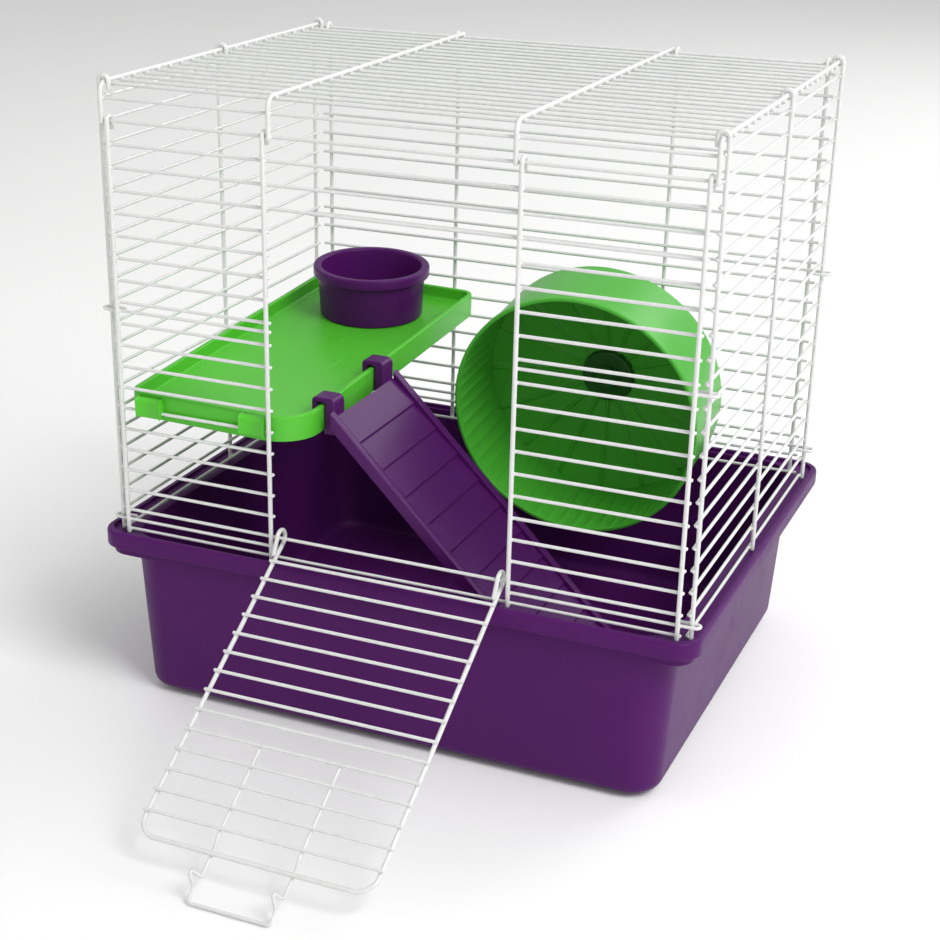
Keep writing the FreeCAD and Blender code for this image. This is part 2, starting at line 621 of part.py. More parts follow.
def bowl():
    # A dish that stands on the tilted deck.
    foot, lip = value("bowl_foot_radius"), value("bowl_radius + bowl_lip_out")
    body, wall = value("bowl_radius"), value("bowl_wall")
    high, band = value("bowl_height"), value("bowl_lip_height")
    profile = [(0, 0), (foot - 1.5, 0), (foot, 1.5), (body, high - band), (lip, high - band),
               (lip, high - 1.2), (lip - 1.2, high), (body - wall + 1, high), (body - wall, high - 1),
               (foot - wall - 1, wall + 4), (foot - wall - 6, wall), (0, wall)]
    tilt = shelf_turn()
    corner = V(value(SHELF_LEFT), value(SHELF_FRONT), value(SHELF_BASE))
    seat = V(value("bowl_side"), value("shelf_length - bowl_back"),
             value("shelf_height - deck_drop + bowl_gap"))
    node(turned("bowl", profile, FreeCAD.Placement(corner + tilt.multVec(seat), tilt)), "bowl")


def wheel():
    # Drawn about Z with the open front at the top, then laid along its sloping axle.
    slope = value("wheel_slope")
    lay = FreeCAD.Rotation(V(1, 0, 0), 90 + slope)
    back = V(value("wheel_right"), value(FACE_BARS + " - bar_diameter / 2 - wheel_back_gap"),
             value(SILL + " + wheel_rise"))
    place = FreeCAD.Placement(back, lay)
    outer, inner = value("wheel_radius"), value("wheel_back_radius")
    deep, wall, rib = value("wheel_depth"), value("wheel_wall"), value("wheel_rib")
    drum = [(inner, 0), (outer, deep), (outer - wall, deep), (inner - wall, 0)]
    node(turned("wheel_drum", drum, place), "wheel_drum")
    axle, play = value("axle_radius"), value("axle_clearance")
    hub, tall = value("hub_radius"), value("hub_height")
    dish, lap = value("wheel_dish"), value("hub_lap")
    rim = inner - wall + value("axle_clearance")
    disc = turned("wheel_plate", [(hub - lap, -dish), (hub, -dish), (rim, 0), (rim, wall),
                                  (hub, wall - dish), (hub - lap, wall - dish)])
    rise = FreeCAD.Rotation(V(0, 1, 0), -math.degrees(math.atan2(dish, rim - hub)))
    ribs = []
    for number in range(int(value("wheel_rib_count"))):
        spoke = doc.addObject("Part::Box", "wheel_rib_%d" % number)
        bound(spoke, Length="rib_reach", Width="wheel_rib", Height="rib_top")
        spin = FreeCAD.Rotation(V(0, 0, 1), 360 * number / value("wheel_rib_count"))
        start = V(hub + axle / 10, -rib / 2, wall / 2 - dish)
        spoke.Placement = FreeCAD.Placement(spin.multVec(start), spin * rise)
        ribs.append(spoke)
    plate = fuse("wheel_disc", [disc] + ribs)
    plate.Placement = place
    node(plate, "wheel_disc")
    top = tall - dish
    face = wall - dish - 0.2
    behind = -dish - value("hub_flange")
    boss = [(axle + play, behind), (hub - lap - 0.1, behind), (hub - lap - 0.1, face), (hub, face),
            (hub, top - 1.5), (hub - 1.5, top), (axle + play, top)]
    node(turned("wheel_hub", boss, place), "wheel_hub")
    low = top + value("wheel_play")
    tail = behind - value("axle_tail")
    rod = [(0, tail), (axle, tail), (axle, low + 2), (0, low + 2)]
    node(turned("wheel_axle", rod, place), "wheel_axle")
    cap = [(axle - 0.1, low), (value("cap_radius"), low), (value("cap_radius"), low + 2),
           (value("cap_radius") - 2, low + value("cap_height")), (0, low + value("cap_height")),
           (0, low + 1.9), (axle - 0.1, low + 1.9)]
    node(turned("axle_cap", cap, place), "axle_cap")
    bracket(place)


def bracket(place):
    # A plate held against the back bars, with a boss that carries the sloping axle.
    face = FACE_BARS + " - bar_diameter / 2"
    centre = SILL + " + wheel_rise + wheel_back_gap * tan ( wheel_slope )"
    plate = box("bracket_plate", "wheel_right - bracket_width / 2",
                face + " - 0.1 - bracket_plate", centre + " - bracket_height / 2", "bracket_width",
                "bracket_plate", "bracket_height")
    tip = -value("wheel_dish + hub_flange + wheel_play")
    boss = turned("bracket_boss", [(0, tip - 30), (value("bracket_boss") + 3, tip - 30),
                                   (value("bracket_boss"), tip), (0, tip)], place)
    beyond = box("bracket_beyond", "wheel_right - 50", face + " - 0.1 - bracket_plate / 2",
                 centre + " - 60", "100", "60", "120")
    tops = []
    for number, left in enumerate(["wheel_right - bracket_width / 2",
                                   "wheel_right + bracket_width / 2 - 10"]):
        tops.append(box("bracket_hook_%d" % number, left, face + " - 0.1 - bracket_plate",
                        level("bracket_bar") + " + bar_diameter / 2 + clip_clearance", "10",
                        "bracket_plate + bar_diameter + 2 * clip_clearance + clip_wall",
                        "clip_wall"))
        tops.append(box("bracket_lip_%d" % number, left, FACE_BARS
                        + " + bar_diameter / 2 + clip_clearance",
                        level("bracket_bar") + " - clip_wall", "10", "clip_wall",
                        "2 * clip_wall + bar_diameter / 2 + clip_clearance"))
    whole = fuse("bracket_whole", [plate, cut("bracket_nose", boss, beyond)] + tops)
    deep = -value("wheel_dish + hub_flange + axle_tail") - 0.5
    snug = value("axle_radius") - 0.02
    bore = turned("bracket_bore", [(0, deep), (snug, deep), (snug, 0), (0, 0)], place)
    node(cut("wheel_bracket", whole, bore), "wheel_bracket")


tray()
front_panel()
roof()
back_panel()
side_panel("left", -1)
side_panel("right", 1)
door()
shelf()
ramp()
bowl()
wheel()
doc.recompute()

faults = [item.Name for item in doc.Objects if "Invalid" in item.State or "Error" in item.State]
if faults:
    raise RuntimeError("not built: " + ", ".join(faults))
os.makedirs("parts", exist_ok=True)
for item in nodes:
    if item.Shape.isNull() or not item.Shape.isValid():
        raise RuntimeError("bad shape: " + item.Label)
    item.Shape.exportStep("parts/%s.step" % item.Label)
print("exported", len(nodes), "nodes")
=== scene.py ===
import math
import bmesh
import bpy
import numpy as np
from mathutils import Euler, Matrix, Vector


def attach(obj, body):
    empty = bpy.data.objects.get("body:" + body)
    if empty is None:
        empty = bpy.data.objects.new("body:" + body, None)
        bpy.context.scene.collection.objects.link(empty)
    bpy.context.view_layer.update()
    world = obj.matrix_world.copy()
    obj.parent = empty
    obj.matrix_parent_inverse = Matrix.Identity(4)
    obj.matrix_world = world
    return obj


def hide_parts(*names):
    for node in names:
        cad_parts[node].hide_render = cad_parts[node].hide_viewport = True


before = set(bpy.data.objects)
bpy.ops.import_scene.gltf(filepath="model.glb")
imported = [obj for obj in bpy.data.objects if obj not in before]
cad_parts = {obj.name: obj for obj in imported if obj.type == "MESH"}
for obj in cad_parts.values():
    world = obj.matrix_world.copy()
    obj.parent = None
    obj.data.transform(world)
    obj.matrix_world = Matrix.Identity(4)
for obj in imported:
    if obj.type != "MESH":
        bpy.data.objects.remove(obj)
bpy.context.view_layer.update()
scene = bpy.context.scene
mm = 0.001


def corneredPath(corners, radii, perArc=7):
    # Straight runs joined by arcs. With d the way in, n the side the path turns to and a the
    # angle turned so far, an arc's point is start + R * (sin a * d + (1 - cos a) * n).
    corners = np.asarray(corners, float)
    radii = np.broadcast_to(np.asarray(radii, float), (len(corners) - 2,))
    points = [corners[:1]]
    for before, corner, after, radius in zip(corners, corners[1:], corners[2:], radii):
        into = (corner - before) / np.linalg.norm(corner - before)
        out = (after - corner) / np.linalg.norm(after - corner)
        turn = math.acos(np.clip(into @ out, -1, 1))
        side = (out - math.cos(turn) * into) / math.sin(turn)
        a = np.linspace(0, turn, perArc)[:, None]
        start = corner - into * radius * math.tan(turn / 2)
        points.append(start + radius * (np.sin(a) * into + (1 - np.cos(a)) * side))
    points.append(corners[-1:])
    path = np.concatenate(points)
    keep = np.r_[True, np.linalg.norm(np.diff(path, axis=0), axis=1) > 1e-4]
    return path[keep]


def gridFaces(rows, columns, wrapRows, wrapColumns):
    # Quads between neighbouring rows and columns of a grid of points.
    i = np.arange(rows if wrapRows else rows - 1)[:, None]
    j = np.arange(columns if wrapColumns else columns - 1)[None, :]
    nextI = (i + 1) % rows
    nextJ = (j + 1) % columns
    quads = [i * columns + j, i * columns + nextJ, nextI * columns + nextJ, nextI * columns + j]
    return np.stack([np.broadcast_to(q, (i.size, j.size)) for q in quads], -1).reshape(-1, 4)


def closedTube(rings):
    # rings is (stations, points, 3): a skin over the rings, with a flat face at each end.
    stations, count = rings.shape[:2]
    quads = gridFaces(stations, count, False, True).tolist()
    last = (stations - 1) * count
    ends = [list(range(count))[::-1], list(range(last, last + count))]
    return rings.reshape(-1, 3), quads + ends


def wireTube(path, radius, across, sides=12):
    # A circle carried along a path. across is a direction that the path never takes; the
    # circle's axes are across x way and way x (across x way), and its ends shrink to a dome.
    path = np.asarray(path, float)
    way = np.gradient(path, axis=0)
    way[0] = path[1] - path[0]
    way[-1] = path[-1] - path[-2]
    way /= np.linalg.norm(way, axis=1)[:, None]
    inset = np.array([0, 0.12, 0.45, 1.0]) * radius * 0.8
    scale = np.array([0.45, 0.72, 0.94, 1.0])
    first = path[0] + way[0] * inset[:, None]
    last = path[-1] - way[-1] * inset[::-1, None]
    path = np.concatenate([first, path[1:-1], last])
    way = np.concatenate([np.repeat(way[:1], 4, 0), way[1:-1], np.repeat(way[-1:], 4, 0)])
    size = np.r_[scale, np.ones(len(path) - 8), scale[::-1]] * radius
    side = np.cross(np.asarray(across, float), way)
    side /= np.linalg.norm(side, axis=1)[:, None]
    other = np.cross(way, side)
    turn = np.linspace(0, 2 * math.pi, sides, endpoint=False)
    ring = np.cos(turn)[None, :, None] * side[:, None] + np.sin(turn)[None, :, None] * other[:, None]
    return closedTube(path[:, None] + ring * size[:, None, None])


def weldBeads(centres, radii):
    # An ellipsoid at each centre: x, y, z are radii times cos b cos a, cos b sin a, sin b.
    a = np.linspace(0, 2 * math.pi, 10, endpoint=False)[None, :]
    b = np.linspace(-1.45, 1.45, 6)[:, None]
    ball = np.stack([np.cos(b) * np.cos(a), np.cos(b) * np.sin(a), np.sin(b) + 0 * a], -1)
    return [closedTube(np.asarray(centre) + ball * np.asarray(radii)) for centre in centres]


def roundedRings(stations, perCorner=8, perSide=5, centre=(0, 0)):
    # One rounded rectangle per station (half length, half width, height, corner radii). With
    # a the angle within a corner, a corner's points are its centre + radius * (cos a, sin a).
    stations = np.asarray(stations, float)
    long, wide, high, radii = stations[:, 0], stations[:, 1], stations[:, 2], stations[:, 3:]
    signs = np.array([[1, -1], [1, 1], [-1, 1], [-1, -1]])
    angle = np.linspace(0, math.pi / 2, perCorner)
    parts = []
    for index, sign in enumerate(signs):
        radius = radii[:, index % radii.shape[1]][:, None]
        a = angle[None, :] + (index - 1) * math.pi / 2
        x = sign[0] * (long[:, None] - radius) + radius * np.cos(a)
        y = sign[1] * (wide[:, None] - radius) + radius * np.sin(a)
        parts.append(np.stack([x, y], -1))
    rings = []
    blend = np.linspace(0, 1, perSide + 1, endpoint=False)[1:][None, :, None]
    for index, part in enumerate(parts):
        after = parts[(index + 1) % 4]
        rings += [part, part[:, -1:] * (1 - blend) + after[:, :1] * blend]
    flat = np.concatenate(rings, 1) + np.asarray(centre, float)
    height = np.broadcast_to(high[:, None, None], flat.shape[:2] + (1,))
    return np.concatenate([flat, height], -1)


def turnedRings(profile, count, wave=None):
    # A profile of (radius, height) swept about Z. wave(angle, radius, height) is added to
    # the radius and the height.
    profile = np.asarray(profile, float)
    angle = np.linspace(0, 2 * math.pi, count, endpoint=False)[None, :]
    radius = np.repeat(profile[:, :1], count, 1)
    height = np.repeat(profile[:, 1:], count, 1)
    if wave:
        outward, upward = wave(angle, radius, height)
        radius = radius + outward
        height = height + upward
    return np.stack([radius * np.cos(angle), radius * np.sin(angle), height], -1)


def extruded(outline, axis, low, high, edge=0.5):
    # A flat outline of two coordinates carried along an axis, drawn in by edge at both ends.
    outline = np.asarray(outline, float)
    ahead = np.roll(outline, -1, 0) - outline
    behind = outline - np.roll(outline, 1, 0)
    ahead /= np.linalg.norm(ahead, axis=1)[:, None]
    behind /= np.linalg.norm(behind, axis=1)[:, None]
    normal = np.stack([-(ahead + behind)[:, 1], (ahead + behind)[:, 0]], -1)
    normal /= np.maximum(np.linalg.norm(normal, axis=1)[:, None], 0.3)
    rings = []
    for place, inset in [(low, edge), (low + edge, 0), (high - edge, 0), (high, edge)]:
        flat = outline + normal * inset
        along = np.full(len(flat), place)
        columns = {0: [along, flat[:, 0], flat[:, 1]], 1: [flat[:, 0], along, flat[:, 1]]}[axis]
        rings.append(np.stack(columns, -1))
    return closedTube(np.stack(rings))


def roundedOutline(corners, radius, perArc=5):
    # A closed outline with every corner rounded, from the middle of one side round to it.
    corners = np.asarray(corners, float)
    middle = (corners[0] + corners[-1]) / 2
    path = corneredPath(np.concatenate([[middle], corners, [middle]]), radius, perArc)
    return path[:-1]


def tilted(points, origin, angle, roll=0):
    # Turned about Y by the roll and about X by the angle, in degrees, then moved.
    turn = np.array(Matrix.Rotation(math.radians(angle), 3, "X")
                    @ Matrix.Rotation(math.radians(roll), 3, "Y"))
    return points @ turn.T + np.asarray(origin, float)


def piece(name, shells, body, nodes, material, sharp):
    # One object from several shells of points in millimetres.
    points = []
    faces = []
    start = 0
    for shell, shellFaces in shells:
        points.append(np.asarray(shell, float))
        faces += [[index + start for index in face] for face in shellFaces]
        start += len(shell)
    mesh = bpy.data.meshes.new(name)
    mesh.from_pydata((np.concatenate(points) * mm).tolist(), [], faces)
    mesh.polygons.foreach_set("use_smooth", np.ones(len(mesh.polygons), bool))
    mesh.set_sharp_from_angle(angle=math.radians(sharp))
    mesh.materials.append(material)
    item = bpy.data.objects.new(name, mesh)
    scene.collection.objects.link(item)
    outward(item)
    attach(item, body)
    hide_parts(*nodes)


def outward(item):
    # Turn every closed shell's faces to the outside.
    work = bmesh.new()
    work.from_mesh(item.data)
    bmesh.ops.recalc_face_normals(work, faces=work.faces)
    work.to_mesh(item.data)
    work.free()


class Signal:
    # A shader value that can be used in Python sums.
    def __init__(self, recipe, socket):
        self.recipe = recipe
        self.socket = socket

    def maths(self, operation, *others):
        values = {number: other for number, other in enumerate((self,) + others)}
        return self.recipe.add("ShaderNodeMath", {"operation": operation}, values)

    def __add__(self, other):
        return self.maths("ADD", other)

    def __rsub__(self, other):
        return self.recipe.add("ShaderNodeMath", {"operation": "SUBTRACT"}, {0: other, 1: self})

    def __mul__(self, other):
        return self.maths("MULTIPLY", other)

    __radd__ = __add__
    __rmul__ = __mul__


class Recipe:
    # A material under construction.
    def __init__(self, name):
        self.material = bpy.data.materials.new(name)
        self.material.use_nodes = True
        self.tree = self.material.node_tree
        self.shader = self.tree.nodes["Principled BSDF"]
        self.place = self.add("ShaderNodeTexCoord", {}, {}, "Object")

    def add(self, kind, settings, values, output=0):
        node = self.tree.nodes.new(kind)
        for key, setting in settings.items():
            setattr(node, key, setting)
        for key, value in values.items():
            self.feed(node.inputs[key], value)
        return Signal(self, node.outputs[output])

    def feed(self, socket, value):
        if isinstance(value, Signal):
            self.tree.links.new(value.socket, socket)
        else:
            socket.default_value = value

    def noise(self, scale, detail=3, roughness=0.5, place=None):
        values = {"Vector": place or self.place, "Scale": scale, "Detail": detail,
                  "Roughness": roughness}
        return self.add("ShaderNodeTexNoise", {}, values, "Fac")

    def stretch(self, factors):
        return self.add("ShaderNodeMapping", {}, {"Vector": self.place, "Scale": factors})

    def mask(self, signal, low, high):
        # 0 below low, 1 above high, and a smooth step between.
        values = {"Value": signal, "From Min": low, "From Max": high}
        return self.add("ShaderNodeMapRange", {"interpolation_type": "SMOOTHSTEP"}, values)

    def mix(self, factor, first, second):
        return self.add("ShaderNodeMix", {"data_type": "RGBA"}, {0: factor, 6: first, 7: second}, 2)

    def bump(self, height, distance, strength=1.0, under=None):
        values = {"Height": height, "Distance": distance, "Strength": strength}
        if under:
            values["Normal"] = under
        return self.add("ShaderNodeBump", {}, values)

    def finish(self, **inputs):
        for name, value in inputs.items():
            self.feed(self.shader.inputs[name.replace("_", " ")], value)
        return self.material


def colour(red, green, blue):
    return (red, green, blue, 1.0)


def powderCoat(name, choices):
    # Baked powder paint on wire: a fine orange peel, pooled a little thicker in places.
    recipe = Recipe(name)
    peel = recipe.noise(choices["peelScale"], 2)
    pool = recipe.noise(choices["poolScale"], 3)
    handled = recipe.mask(recipe.noise(choices["dustScale"], 4, 0.6), 0.52, 0.74)
    shade = recipe.mix(pool, colour(*choices["shaded"]), colour(*choices["bright"]))
    dusty = recipe.mix(handled * choices["dust"], shade, colour(*choices["dustColour"]))
    under = recipe.bump(peel, choices["peelDepth"], 0.6)
    surface = recipe.bump(pool, choices["poolDepth"], 0.5, under)
    return recipe.finish(Base_Color=dusty, Roughness=choices["roughness"] + peel * 0.12,
                         Normal=surface, Coat_Weight=choices["coat"],
                         Coat_Roughness=choices["coatRoughness"])


def mouldedPlastic(name, choices):
    # Injection moulded plastic: a spark-eroded grain, flow marks, faint rubs and fine scratches.
    recipe = Recipe(name)
    grain = recipe.noise(choices["grainScale"], 3, 0.6)
    flow = recipe.noise(1.0, 3, 0.5, recipe.stretch(choices["flow"]))
    cloud = recipe.noise(choices["cloudScale"], 3, 0.55)
    rubbed = recipe.mask(recipe.noise(choices["rubScale"], 4, 0.65), *choices["rubEdge"])
    lines = recipe.noise(1.0, 2, 0.4, recipe.stretch(choices["scratches"]))
    scratch = 1.0 - recipe.mask(lines, *choices["scratchEdge"])
    tone = recipe.mix(cloud, colour(*choices["deep"]), colour(*choices["light"]))
    tone = recipe.mix(rubbed * choices["rub"], tone, colour(*choices["rubColour"]))
    tone = recipe.mix(scratch * choices["scratch"], tone, colour(*choices["rubColour"]))
    roughness = choices["roughness"] + rubbed * 0.10 + flow * 0.06 + scratch * 0.12
    under = recipe.bump(grain, choices["grainDepth"], 0.5)
    surface = recipe.bump(flow, choices["flowDepth"], 0.25, under)
    surface = recipe.bump(1.0 - scratch, choices["scratchDepth"], 0.35, surface)
    return recipe.finish(Base_Color=tone, Roughness=roughness, Normal=surface,
                         Coat_Weight=choices["coat"], Coat_Roughness=choices["coatRoughness"],
                         IOR=choices["ior"], Specular_IOR_Level=choices["specular"])


wireFinish = dict(peelScale=1500, peelDepth=0.00006, poolScale=260, poolDepth=0.0002, dustScale=34,
                  shaded=(0.66, 0.66, 0.655), bright=(0.80, 0.80, 0.795), dust=0.16,
                  dustColour=(0.56, 0.55, 0.50), roughness=0.30, coat=0.25, coatRoughness=0.2)
moulding = dict(grainScale=2600, grainDepth=0.00003, flowDepth=0.0004, rubEdge=(0.5, 0.72),
                scratch=0.10, scratchEdge=(0.27, 0.33), scratchDepth=0.00008, ior=1.49)
purple = dict(moulding, flow=(14, 14, 60), cloudScale=9, rubScale=26, rub=0.06,
              rubColour=(0.14, 0.035, 0.20), scratches=(20, 340, 46), deep=(0.066, 0.006, 0.096),
              light=(0.084, 0.009, 0.120), roughness=0.38, coat=0.02, coatRoughness=0.25,
              specular=0.12)
green = dict(moulding, flow=(30, 12, 40), cloudScale=11, rubScale=30, rub=0.10,
             rubColour=(0.22, 0.60, 0.14), scratches=(300, 24, 60), deep=(0.070, 0.470, 0.022),
             light=(0.100, 0.560, 0.036), roughness=0.33, coat=0.06, coatRoughness=0.2,
             specular=0.3)
steelFinish = dict(purple, deep=(0.45, 0.45, 0.46), light=(0.6, 0.6, 0.61),
                   rubColour=(0.7, 0.7, 0.7), roughness=0.28)
finishes = {
    "wire": powderCoat("whitePowderCoat", wireFinish),
    "tray": mouldedPlastic("purpleTrayPlastic", purple),
    "ramp": mouldedPlastic("purpleRampPlastic", dict(purple, roughness=0.36, coat=0.18)),
    "bowl": mouldedPlastic("purpleBowlPlastic", dict(purple, cloudScale=24, roughness=0.28)),
    "shelf": mouldedPlastic("greenShelfPlastic", green),
    "wheel": mouldedPlastic("greenWheelPlastic", dict(green, deep=(0.066, 0.42, 0.034),
                                                      light=(0.092, 0.51, 0.048))),
    # The hub's dark green is painted shade: the hub is coloured darker than the wheel to stand in
    # for the shade in the wheel's cup.
    "hub": mouldedPlastic("hubPaintedShadePlastic", dict(green, deep=(0.018, 0.10, 0.016),
                                                 light=(0.026, 0.13, 0.022),
                                                 rubColour=(0.05, 0.16, 0.05))),
    "axle": mouldedPlastic("axleSteel", steelFinish)}
finishes["axle"].node_tree.nodes["Principled BSDF"].inputs["Metallic"].default_value = 1.0
print("finishes made")

cage = dict(uprightRadius=1.3, barRadius=0.95, pitch=12.7, face=133.0, faceBars=130.87,
            lipBars=130.45, lipFace=132.58, panelEnd=168.5, backEnd=165.3, post=72.8,
            roofEdge=172.0, roofMiddle=69.3, side=174.9, sideBars=172.77, sideFront=128.32,
            sideBack=127.62, foot=105.6, sill=107.6, rail=119.7, top=348.3, lipGap=12.1,
            roof=369.1, roofBend=6.0, midHook=241.6, lowHook=113.6, backLowHook=125.7, hook=2.55,
            tail=5.0, nub=1.8, roofNub=1.6, sideNub=0.8, hairpin=176.9, hairpinBack=166.9)
beadSize = dict(flat=(1.75, 1.15, 1.3), side=(1.15, 1.75, 1.3), roof=(1.75, 1.3, 1.15),
                door=(1.7, 1.3, 1.15), latch=(1.2, 1.2, 1.0))
# From a bar's centre to its weld, to a thick wire it is welded to, and to another bar.
weldDepth = 0.97
crossing = 2.13
barCrossing = 1.78


def straight(start, end, across=(0.0, 0.6, 0.8), radius=None):
    # A straight wire with a few stations along it.
    steps = np.linspace(0, 1, 6)[:, None]
    path = np.asarray(start, float) * (1 - steps) + np.asarray(end, float) * steps
    return wireTube(path, radius or cage["barRadius"], across, 10)


def flatBars(levels, y, left, right):
    return [straight((left, y, z), (right, y, z)) for z in levels]


def upright(x, y, top, hook):
    # An upright whose top curls inwards over a wire.
    way = -1 if y > 0 else 1
    corners = [(x, y, cage["foot"]), (x, y, top + hook), (x, y + 2 * way * hook, top + hook),
               (x, y + 2 * way * hook, top - cage["tail"])]
    return wireTube(corneredPath(corners, hook, 9), cage["uprightRadius"], (1, 0, 0))


def hairpin(z, side, face, start, around):
    # A wire along a panel that turns back round the next panel's upright.
    leg = cage["faceBars"]
    back = 2 * around - leg
    bend = (leg - back) / 2
    far = cage["hairpin"] + bend
    corners = [(side * start, face * leg, z), (side * far, face * leg, z),
               (side * far, face * back, z), (side * cage["hairpinBack"], face * back, z)]
    return wireTube(corneredPath(corners, bend, 9), cage["barRadius"], (0, 0, 1), 10)


def wirePiece(name, shells, body="cage"):
    return piece(name + "_coated", shells, body, [name], finishes["wire"], 60)


rail, pitch = cage["rail"], cage["pitch"]
allLevels = [cage["sill"]] + [rail + pitch * k for k in range(20)]
openLevels = [rail + pitch * k for k in range(1, 15)]
headerLevels = [rail + pitch * k for k in range(15, 18)]
frontPosts = [-cage["panelEnd"], -cage["post"], cage["post"], cage["panelEnd"]]
backPosts = [-cage["backEnd"], -cage["post"], cage["post"], cage["backEnd"]]
panelTip = cage["panelEnd"] + cage["nub"]
openingTip = cage["post"] - cage["nub"]
near = -cage["faceBars"]


def flatBeads(posts, levels, face):
    y = face * (cage["faceBars"] + weldDepth)
    return weldBeads([(x, y, z) for x in posts for z in levels], beadSize["flat"])


wirePiece("front_panel_uprights", [upright(x, -cage["face"], cage["top"], cage["hook"])
                                   for x in frontPosts])
wirePiece("front_panel_header_bars", flatBars(headerLevels, near, -panelTip, panelTip)
          + flatBeads(frontPosts, headerLevels, -1))
sillLevels = [rail, cage["sill"]]
wirePiece("front_panel_sill_bars", flatBars(sillLevels, near, -panelTip, panelTip)
          + flatBeads(frontPosts, sillLevels, -1))
wirePiece("front_panel_left_bars", flatBars(openLevels, near, -panelTip, -openingTip)
          + flatBeads(frontPosts[:2], openLevels, -1))
wirePiece("front_panel_right_bars", flatBars(openLevels, near, openingTip, panelTip)
          + flatBeads(frontPosts[2:], openLevels, -1))
hookLevels = [cage["midHook"], cage["lowHook"]]
wirePiece("front_panel_hook_wires", [hairpin(z, side, -1, openingTip, cage["sideFront"])
                                     for z in hookLevels for side in (-1, 1)]
          + flatBeads(frontPosts, hookLevels, -1))
print("front panel made")


def crossWire(x):
    corners = [(x, cage["lipBars"] + cage["roofNub"], cage["roof"]),
               (x, -cage["lipFace"], cage["roof"]),
               (x, -cage["lipFace"], cage["top"] - cage["roofNub"])]
    return wireTube(corneredPath(corners, cage["roofBend"], 9), cage["uprightRadius"], (1, 0, 0))


crossPlaces = [-cage["roofEdge"], -cage["roofMiddle"], cage["roofMiddle"], cage["roofEdge"]]
roofTip = cage["roofEdge"] + cage["roofNub"]
roofPlaces = [cage["lipBars"] - pitch * k for k in range(21)]
roofBarLevel = cage["roof"] - crossing
wirePiece("roof_cross_wires", [crossWire(x) for x in crossPlaces])
wirePiece("roof_bars", [straight((-roofTip, y, roofBarLevel), (roofTip, y, roofBarLevel))
                        for y in roofPlaces]
          + weldBeads([(x, y, roofBarLevel + weldDepth) for x in crossPlaces for y in roofPlaces],
                      beadSize["roof"]))
lipLevels = [cage["top"], cage["top"] + cage["lipGap"]]
wirePiece("roof_lip_bars", flatBars(lipLevels, -cage["lipBars"], -roofTip, roofTip)
          + weldBeads([(x, -cage["lipBars"] - weldDepth, z) for x in crossPlaces
                       for z in lipLevels], beadSize["flat"]))
print("roof made")

wirePiece("back_panel_uprights", [upright(x, cage["face"], roofBarLevel, cage["hook"])
                                  for x in backPosts])
wirePiece("back_panel_bars", flatBars(allLevels, -near, -panelTip, panelTip)
          + flatBeads(backPosts, allLevels, 1))
wirePiece("back_panel_hook_wires",
          [hairpin(z, side, 1, 0.0, cage["sideBack"])
           for z in (cage["midHook"], cage["backLowHook"]) for side in (-1, 1)]
          + flatBeads(backPosts, (cage["midHook"], cage["backLowHook"]), 1))


def sidePanel(name, side):
    # Uprights that curl over the roof's edge wire, with long bars inside them.
    curl = cage["side"] - cage["roofEdge"]
    places = [-cage["sideFront"], 0.0, cage["sideBack"]]
    top = cage["roof"] + curl
    inner = cage["roofEdge"] - curl
    shells = []
    for y in places:
        corners = [(side * cage["side"], y, cage["foot"]), (side * cage["side"], y, top),
                   (side * inner, y, top), (side * inner, y, cage["roof"] - cage["tail"])]
        shells.append(wireTube(corneredPath(corners, curl, 9), cage["uprightRadius"], (0, 1, 0)))
    wirePiece(name + "_panel_uprights", shells)
    x = side * cage["sideBars"]
    front = -cage["sideFront"] - cage["sideNub"]
    back = cage["sideBack"] + cage["sideNub"]
    bars = [straight((x, front, z), (x, back, z), (0.6, 0, 0.8)) for z in allLevels]
    beads = weldBeads([(x + side * weldDepth, y, z) for y in places for z in allLevels],
                      beadSize["side"])
    wirePiece(name + "_panel_bars", bars + beads)


sidePanel("left", -1)
sidePanel("right", 1)
print("back and side panels made")

door = dict(length=193.0, half=67.5, offset=4.8, corner=11.0, slope=30.7, firstBar=14.6, bars=14,
            landingReach=2.5, landingRise=3.3, latchSpread=23.5, latchBar=9, latchDip=(9, 3),
            latchNeck=12.6, latchHeight=14.0, latchLean=4.0, latchFold=3.4, latchWeld=0.9,
            foldRise=1.5, handleReach=8.0, handleDrop=1, latchCurve=3, latchBend=1.2,
            handleBend=2.5)


def hung(points):
    # Door points (x, -distance from the rail, height over the rail) let down about the rail.
    return tilted(np.asarray(points, float), (0, near, rail), door["slope"])


def doorFrame():
    low, loop, half = -door["offset"], door["offset"], door["half"]
    landing = np.array([door["landingReach"] * loop, low + door["landingRise"]])
    lean = math.atan2(landing[1], landing[0])
    touch = lean + math.acos(loop / math.hypot(*landing))
    crest = loop * math.tan((math.pi / 2 - touch) / 2)
    side = [(half, -landing[0], landing[1]), (half, -crest, loop), (half, loop, loop),
            (half, loop, low), (half, -door["length"], low)]
    corners = side + [(-x, y, z) for x, y, z in side[::-1]]
    bends = [loop, loop, loop, door["corner"]]
    path = corneredPath(hung(corners), bends + bends[::-1], 10)
    return wireTube(path, cage["uprightRadius"], hung([(1, 0, 1)])[0] - hung([(0, 0, 0)])[0])


barHeight = crossing - door["offset"]
doorTip = door["half"] + cage["nub"]
doorRows = [door["firstBar"] + pitch * k for k in range(door["bars"])]
wirePiece("door_frame_wire", [doorFrame()], "door")
doorBeads = hung([(side * door["half"], -row, barHeight - weldDepth)
                  for side in (-1, 1) for row in doorRows])
wirePiece("door_bars", [straight(*hung([(-doorTip, -row, barHeight), (doorTip, -row, barHeight)]))
                        for row in doorRows]
          + weldBeads(doorBeads, beadSize["door"]), "door")


